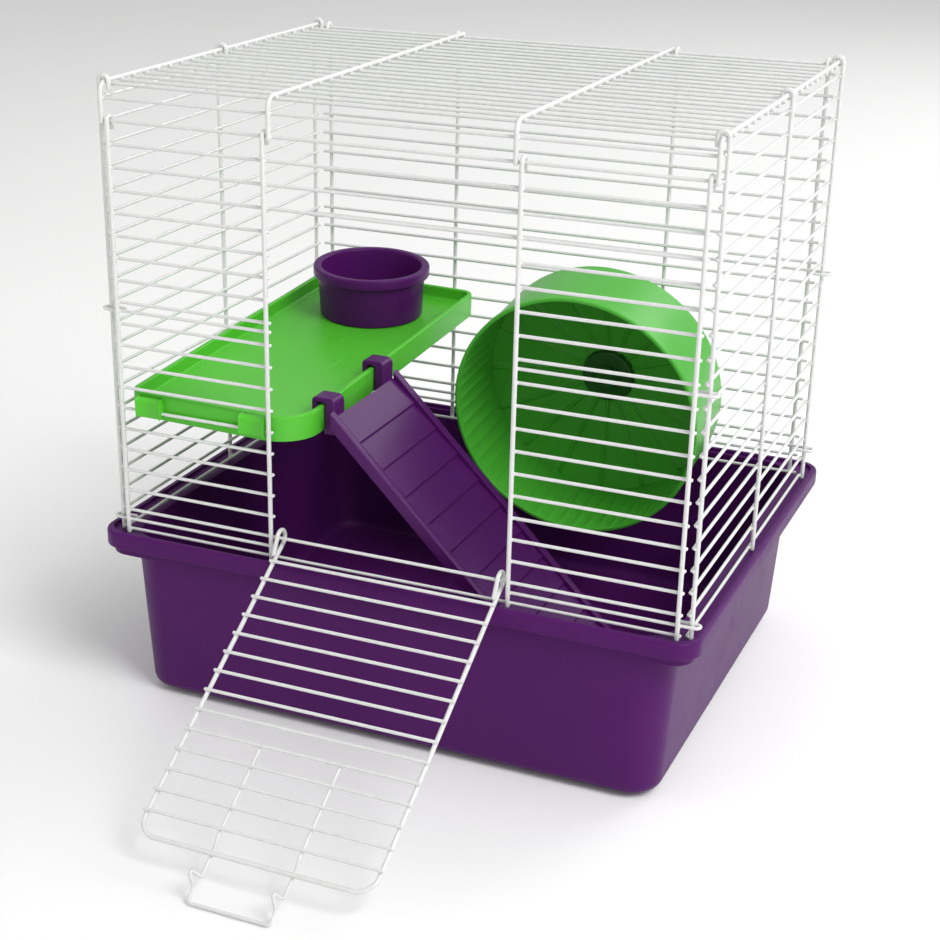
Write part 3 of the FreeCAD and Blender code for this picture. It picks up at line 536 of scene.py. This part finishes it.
def latch():
    low, end = -door["offset"], -door["length"]
    underBars = low + crossing - barCrossing
    underEnd = low - crossing
    dipStart, dipEnd = door["latchDip"]
    start = -(door["firstBar"] + door["latchBar"] * pitch - cage["nub"])
    foot = end - door["latchNeck"]
    peak = foot - door["latchLean"]
    fold = peak - door["latchFold"]
    run = [(start, underBars), (end + dipStart, underBars), (end + dipEnd, underEnd),
           (foot, underEnd), (peak, low + door["latchHeight"]), (fold, low + door["foldRise"]),
           (fold - door["handleReach"], low - door["handleDrop"])]
    leg = [(door["latchSpread"], y, z) for y, z in run]
    corners = leg + [(-x, y, z) for x, y, z in leg[::-1]]
    bends = 2 * [door["latchCurve"]] + 3 * [door["latchBend"]] + [door["handleBend"]]
    path = corneredPath(hung(corners), bends + bends[::-1], 7)
    across = hung([(1, -0.25, 0.9)])[0] - hung([(0, 0, 0)])[0]
    return wireTube(path, cage["barRadius"], across)


latchBeads = hung([(side * door["latchSpread"], -row, barHeight - door["latchWeld"])
                   for side in (-1, 1) for row in doorRows[door["latchBar"]:]])
wirePiece("door_latch_wire", [latch()] + weldBeads(latchBeads, beadSize["latch"]), "door")
print("door made")

tray = dict(halfLength=183.5, halfWidth=149.0, height=107.0, rimCorner=15.0, seatCorner=12.0,
            rimDrop=10.0, lip=3.8, stepDrop=5.0, stepInset=4.0, ledge=2.0, tubLength=163.0,
            tubWidth=138.25, tubCorner=18.0, draft=3.5, wall=2.4, foot=4.0, footInset=16.0,
            core=4, coreCorner=2, middle=(-2.5, 8.25),
            bends=(0.8, 0.5, 6.5, 1.0, 0.8, 0.8, 0.9, 2.2, 0.35, 0.4, 1.0, 7.0))


def trayRings():
    # The tray's section, from the middle of its underside out, up, over the rim and back in.
    t = tray
    spread = math.tan(math.radians(t["draft"]))
    floor = t["foot"] + t["wall"]
    stepBase = t["height"] - t["rimDrop"] - t["stepDrop"]
    rimBase = t["height"] - t["rimDrop"]
    ledge = t["height"] - t["ledge"]

    def side(z, base, inset):
        grow = (z - base) * spread - inset
        return (t["tubLength"] + grow, t["tubWidth"] + grow, z, t["tubCorner"] + grow)

    def rim(z, inset, corner):
        return (t["halfLength"] - inset, t["halfWidth"] - inset, z, corner)

    def core(z):
        return (t["core"], t["core"], z, t["coreCorner"])

    foot = (t["tubLength"] - t["footInset"], t["tubWidth"] - t["footInset"])
    footCorner = t["tubCorner"] - t["footInset"]
    corners = [core(0), (foot[0], foot[1], 0, footCorner),
               (foot[0], foot[1], t["foot"], footCorner), side(t["foot"], t["foot"], 0),
               side(stepBase, t["foot"], 0),
               rim(stepBase, t["stepInset"], t["rimCorner"] - t["stepInset"]),
               rim(rimBase, t["stepInset"], t["rimCorner"] - t["stepInset"]),
               rim(rimBase, 0, t["rimCorner"]), rim(t["height"], 0, t["rimCorner"]),
               rim(t["height"], t["lip"], t["seatCorner"]),
               rim(ledge, t["lip"], t["seatCorner"]), side(ledge, floor, t["wall"]),
               side(floor, floor, t["wall"]), core(floor)]
    return roundedRings(corneredPath(corners, t["bends"], 6), 12, 5, t["middle"])


piece("tray_moulded", [closedTube(trayRings())], "tray", ["tray"],
      finishes["tray"], 50)
print("tray made")

shelf = dict(left=-167.02, front=-128.72, base=179.1, width=112.0, length=256.0, height=15.0,
             corners=(24.0, 9.0, 9.0, 9.0), drop=8.0, deck=2.6, rim=3.2, tilt=2.4, roll=1.5,
             core=3, bends=(1.0, 0.5, 0.5, 1.3, 1.2, 2.0), clipLevel=183.2, clipRows=(8.5, 76.0),
             clipWidth=15.3, clipWall=2.4, clipRoom=1.2, clipRise=8.5, clipRoot=4.4,
             clipBends=(0.5, 2.6, 0.6, 0.5, 0.4, 0.9, 0.9, 0.4))


def shelfRings():
    # From the middle of the underside out, up the skirt, over the rim and down to the deck.
    s = shelf
    long, wide = s["width"] / 2, s["length"] / 2
    outer = s["corners"]
    inner = [corner - s["rim"] for corner in outer]
    deck = s["height"] - s["drop"]
    under = deck - s["deck"]
    small = [1.0] * 4
    core = s["core"]
    corners = [(core, core, under, *small), (long - s["rim"], wide - s["rim"], under, *inner),
               (long - s["rim"], wide - s["rim"], 0, *inner), (long, wide, 0, *outer),
               (long, wide, s["height"], *outer),
               (long - s["rim"], wide - s["rim"], s["height"], *inner),
               (long - s["rim"], wide - s["rim"], deck, *inner), (core, core, deck, *small)]
    return roundedRings(corneredPath(corners, s["bends"], 6), 10, 5, (long, wide))


def shelfClip(face, row):
    # A hook that sits down over a bar: an outer leg, a bridge and a root under the shelf.
    s = shelf
    centre = face * cage["faceBars"]
    room, wall = s["clipRoom"], s["clipWall"]
    low, high = s["clipLevel"] - wall, s["clipLevel"] + s["clipRise"]
    away, root = face * (room + wall), -face * (room + wall + s["clipRoot"])
    outline = [(centre + away, low), (centre + away, high), (centre + root, high),
               (centre + root, low), (centre - face * room, low),
               (centre - face * room, s["clipLevel"] + room),
               (centre + face * room, s["clipLevel"] + room), (centre + face * room, low)]
    bends = s["clipBends"]
    if face > 0:
        outline = outline[::-1]
        bends = bends[::-1]
    left = s["left"] + row
    return extruded(roundedOutline(outline, bends), 0, left, left + s["clipWidth"], 0.6)


shelfShell = closedTube(shelfRings())
shelfPlace = (shelf["left"], shelf["front"], shelf["base"])
shelfShell = (tilted(shelfShell[0], shelfPlace, shelf["tilt"], shelf["roll"]), shelfShell[1])
piece("shelf_moulded", [shelfShell] + [shelfClip(face, row) for face in (-1, 1)
                                       for row in shelf["clipRows"]],
      "cage", ["shelf"], finishes["shelf"], 45)
print("shelf made")

ramp = dict(edge=-47.52, front=-106.92, width=91.0, top=186.1, floor=7.0, plate=2.6, rail=6.0,
            railTop=3.0, railEdge=0.8, deckInset=1, deckEdge=0.4, skirt=4.0, standOff=6.5, gap=1.0,
            cleats=11, step=20.2, rise=1.2, nose=0.6, hookLeg=22.0, hookWidth=13.0, hookInset=6.0,
            hookWall=3.0, span=5.2, lap=5.0, hookBends=(0.3, 0.8, 0.8, 0.8, 0.8, 2.4, 3.6, 0.3))


def rampStrip(above, below, low, high, edge, steps=False):
    # A strip down the slope between two heights measured square to it.
    r = ramp
    root = math.sqrt(2)
    run = (r["top"] - r["floor"]) * root

    def onSlope(along, height):
        return (r["edge"] + (along + height) / root, r["top"] + (height - along) / root)

    top = [onSlope(-above, above)]
    if steps:
        for number in range(1, r["cleats"] + 1):
            along = number * r["step"]
            top += [onSlope(along - r["nose"], above + r["rise"]), onSlope(along + r["nose"], above)]
    top.append(onSlope(run + above, above))
    bottom = [onSlope(run + below, below), onSlope(-below, below)]
    return extruded((top + bottom)[::-1], 1, low, high, edge)


def rampHook(place):
    # A hook's outline: up its outer leg, over the shelf's rim and down inside it.
    r = ramp
    near = r["front"] + place
    rise = (near + r["hookWidth"] - shelf["front"]) * math.tan(math.radians(shelf["tilt"]))
    fall = shelf["width"] * math.tan(math.radians(shelf["roll"]))
    rimTop = shelf["base"] + shelf["height"] + r["gap"] + rise - fall
    wall = r["hookWall"]
    edge = r["edge"] - r["standOff"]
    inner = edge - r["span"] - wall
    foot = rimTop + wall - r["hookLeg"]
    outline = [(edge, foot), (edge, rimTop), (edge - r["span"], rimTop),
               (edge - r["span"], rimTop - r["lap"]), (inner, rimTop - r["lap"]),
               (inner, rimTop + wall), (r["edge"], rimTop + wall), (r["edge"], foot)]
    rounded = roundedOutline(outline[::-1], r["hookBends"][::-1])
    return extruded(rounded, 1, near, near + r["hookWidth"], 0.6)


front, far = ramp["front"], ramp["front"] + ramp["width"]
rampShells = [rampStrip(0, -ramp["plate"], front + ramp["deckInset"], far - ramp["deckInset"],
                        ramp["deckEdge"], True),
              rampStrip(ramp["railTop"], -ramp["skirt"], front, front + ramp["rail"],
                        ramp["railEdge"]),
              rampStrip(ramp["railTop"], -ramp["skirt"], far - ramp["rail"], far,
                        ramp["railEdge"]),
              rampHook(ramp["hookInset"]),
              rampHook(ramp["width"] - ramp["hookInset"] - ramp["hookWidth"])]
piece("inner_ramp_moulded", rampShells, "ramp", ["inner_ramp"], finishes["ramp"], 30)
print("ramp made")

bowl = dict(foot=33.5, body=35.0, lip=38.0, height=33.0, band=6.3, wall=2.2, side=57.5,
            along=207.0, seat=7.3, core=0.6, recess=0.8, recessRing=(4, 3), lean=1.5, around=96,
            bends=(0.3, 0.5, 1.2, 0.8, 0.6, 1.3, 1.6, 5.0))


def bowlRings():
    # From the recess under the foot out, up the wall, over the lip and down to the inside.
    b = bowl
    shoulder = b["height"] - b["band"]
    recessOut, footIn = b["recessRing"]
    corners = [(b["core"], b["recess"]), (b["foot"] - recessOut, b["recess"]),
               (b["foot"] - footIn, 0), (b["foot"], 0), (b["body"], shoulder),
               (b["lip"], shoulder), (b["lip"], b["height"]),
               (b["body"] - b["wall"], b["height"]),
               (b["foot"] - b["wall"] - b["lean"], b["wall"]), (b["core"], b["wall"])]
    return turnedRings(corneredPath(corners, b["bends"], 7), b["around"])


bowlPoints, bowlFaces = closedTube(bowlRings())
bowlPoints = bowlPoints + np.array([bowl["side"], bowl["along"], bowl["seat"]])
bowlPoints = tilted(bowlPoints, shelfPlace, shelf["tilt"], shelf["roll"])
piece("bowl_moulded", [(bowlPoints, bowlFaces)], "bowl", ["bowl"],
      finishes["bowl"], 60)

wheel = dict(centre=(44.5, 106.62, 159.1), slope=6.6, radius=80.0, backRadius=79.0, depth=60.0,
             wall=2.2, dish=13.0, ribs=16, ribHeight=1.9, ribHalf=0.95, cleats=56, cleatHeight=0.8,
             foot=12, lipDepth=5, swell=1.2, drumBends=(0.3, 1.0, 0.4, 0.3, 0.8, 0.6, 0.2),
             hub=18.0, hubHeight=6.0, flange=1.5, lap=4.0, seatRoom=0.1, seatPress=0.2, bore=3.08,
             hubBends=(0.2, 0.4, 0.2, 0.3, 1.8, 0.3))


def wheelTurned(path, count, wave=None):
    # A closed profile swept about the axle and laid in the wheel's place.
    rings = turnedRings(path, count, wave)
    faces = gridFaces(len(rings), count, True, True).tolist()
    return tilted(rings.reshape(-1, 3), wheel["centre"], 90 + wheel["slope"]), faces


def wheelDrum():
    # The open drum, whose inside widens a little from its foot towards its front lip.
    w = wheel
    thick = w["wall"]
    lip = w["depth"] - w["lipDepth"]
    corners = [(w["backRadius"] - thick, w["foot"]), (w["backRadius"] - thick, 0),
               (w["backRadius"], 0), (w["radius"] - w["swell"], lip - 1), (w["radius"], lip),
               (w["radius"], w["depth"]), (w["radius"] - thick - 0.3, w["depth"]),
               (w["radius"] - thick - 0.1, lip), (w["backRadius"] - thick, w["foot"] + 0.5)]
    path = corneredPath(corners, w["drumBends"], 5)

    def cleats(angle, radius, height):
        # Shallow running cleats on the inside only.
        inside = (radius < w["backRadius"] - thick + 1.4) & (height > 3) & (height < w["depth"] - 4)
        ridge = np.maximum(np.cos(angle * w["cleats"]), 0) ** 2
        return -1.0 * inside * ridge * w["cleatHeight"], 0 * height

    inner = [(w["backRadius"] - thick + w["swell"] * (z - w["foot"]) / (lip - w["foot"]), z)
             for z in np.linspace(lip - 2, w["foot"] + 2, 8)]
    return wheelTurned(np.concatenate([path[:-1], inner]), 432, cleats)


def wheelDisc():
    # The ribbed disc that closes the drum's back.
    w = wheel
    rim = w["backRadius"] - w["wall"] + 0.1
    radii = np.r_[w["hub"] - w["lap"], np.linspace(w["hub"], rim - 1.5, 14), rim]
    # The disc falls back in a cone from its rim to its hub.
    cone = -w["dish"] * np.clip((rim - radii) / (rim - w["hub"]), 0, 1)
    top = list(zip(radii, cone + w["wall"]))
    path = top + [(rim, 0.0), (w["hub"], -w["dish"]), (w["hub"] - w["lap"], -w["dish"])]

    def ribs(angle, radius, height):
        # Each rib is a ridge whose height falls off with the distance across it.
        turn = angle * w["ribs"] / (2 * math.pi)
        across = np.abs(turn - np.round(turn)) * 2 * math.pi / w["ribs"] * radius
        front = height > w["wall"] / 2 - w["dish"] * (rim - radius) / (rim - w["hub"])
        live = front & (radius > w["hub"] - 1) & (radius < rim - 0.5)
        return 0 * height, live * w["ribHeight"] / (1 + (across / w["ribHalf"]) ** 4)

    return wheelTurned(path, 640, ribs)


def wheelHub():
    # The boss in the disc's middle, bored for the axle.
    w = wheel
    seat = w["hub"] - w["lap"] - w["seatRoom"]
    face = w["wall"] - w["dish"] - w["seatPress"]
    top = w["hubHeight"] - w["dish"]
    behind = -w["dish"] - w["flange"]
    middle = (top + behind) / 2
    corners = [(w["bore"], middle), (w["bore"], behind), (seat, behind), (seat, face),
               (w["hub"], face), (w["hub"] - 0.8, top), (w["bore"], top), (w["bore"], middle + 0.5)]
    return wheelTurned(corneredPath(corners, w["hubBends"], 6), 96)


piece("wheel_drum_moulded", [wheelDrum()], "wheel", ["wheel_drum"],
      finishes["wheel"], 40)
piece("wheel_disc_moulded", [wheelDisc()], "wheel", ["wheel_disc"],
      finishes["wheel"], 50)
# The hub takes the dark hub finish, whose darkness is painted shade.
piece("wheel_hub_moulded", [wheelHub()], "wheel", ["wheel_hub"], finishes["hub"], 50)
print("wheel made")

# Parts whose modelled shape is kept get their finish. The axle cap takes the hub's dark finish,
# which is painted shade.
for node, finish in [("wheel_bracket", "wheel"), ("wheel_axle", "axle"), ("axle_cap", "hub")]:
    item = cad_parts[node]
    item.data.materials.clear()
    item.data.materials.append(finishes[finish])

studio = dict(floorSize=12.0, floorColour=(0.93, 0.93, 0.925), floorLight=(0.95, 0.95, 0.945),
              world=0.55, aim=(0, 0, 0.18),
              lights=[("key", (1.9, -0.9, 2.3), 1.4, 62), ("fill", (-2.3, -1.3, 1.5), 2.2, 6),
                      ("rim", (1.0, 2.2, 1.9), 1.6, 26)])


def makeFloor():
    recipe = Recipe("paleStudioFloor")
    mottle = recipe.noise(6, 3)
    pale = recipe.mix(mottle, colour(*studio["floorColour"]), colour(*studio["floorLight"]))
    recipe.finish(Base_Color=pale, Roughness=0.6 + mottle * 0.1)
    half = studio["floorSize"] / 2
    mesh = bpy.data.meshes.new("studioFloor")
    mesh.from_pydata([(-half, -half, 0), (half, -half, 0), (half, half, 0), (-half, half, 0)], [],
                     [(0, 1, 2, 3)])
    mesh.materials.append(recipe.material)
    floor = bpy.data.objects.new("studioFloor", mesh)
    scene.collection.objects.link(floor)


def makeLights():
    for name, place, size, power in studio["lights"]:
        data = bpy.data.lights.new(name, "AREA")
        data.size = size
        data.energy = power
        lamp = bpy.data.objects.new(name, data)
        lamp.location = place
        aim = Vector(studio["aim"]) - Vector(place)
        lamp.rotation_euler = aim.to_track_quat("-Z", "Y").to_euler()
        scene.collection.objects.link(lamp)
    world = bpy.data.worlds.new("studioWorld")
    world.use_nodes = True
    background = world.node_tree.nodes["Background"]
    background.inputs["Color"].default_value = (1, 1, 1, 1)
    background.inputs["Strength"].default_value = studio["world"]
    scene.world = world


camera = dict(place=(0.3863, -0.9678, 0.5331), turn=23.745, down=23.138, roll=0.669, lens=69.21,
              sensor=36, shift=(0.0553, 0.0606))


def makeCamera():
    data = bpy.data.cameras.new("studioCamera")
    data.sensor_width = camera["sensor"]
    data.lens = camera["lens"]
    data.shift_x, data.shift_y = camera["shift"]
    eye = bpy.data.objects.new("studioCamera", data)
    eye.location = camera["place"]
    turn, down, roll = (math.radians(camera[key]) for key in ("turn", "down", "roll"))
    face = Euler((math.pi / 2 - down, 0, turn)).to_matrix() @ Matrix.Rotation(roll, 3, "Z")
    eye.rotation_euler = face.to_euler()
    scene.collection.objects.link(eye)
    scene.camera = eye


makeFloor()
makeLights()
makeCamera()
scene.view_settings.view_transform = "Standard"
print("studio made")
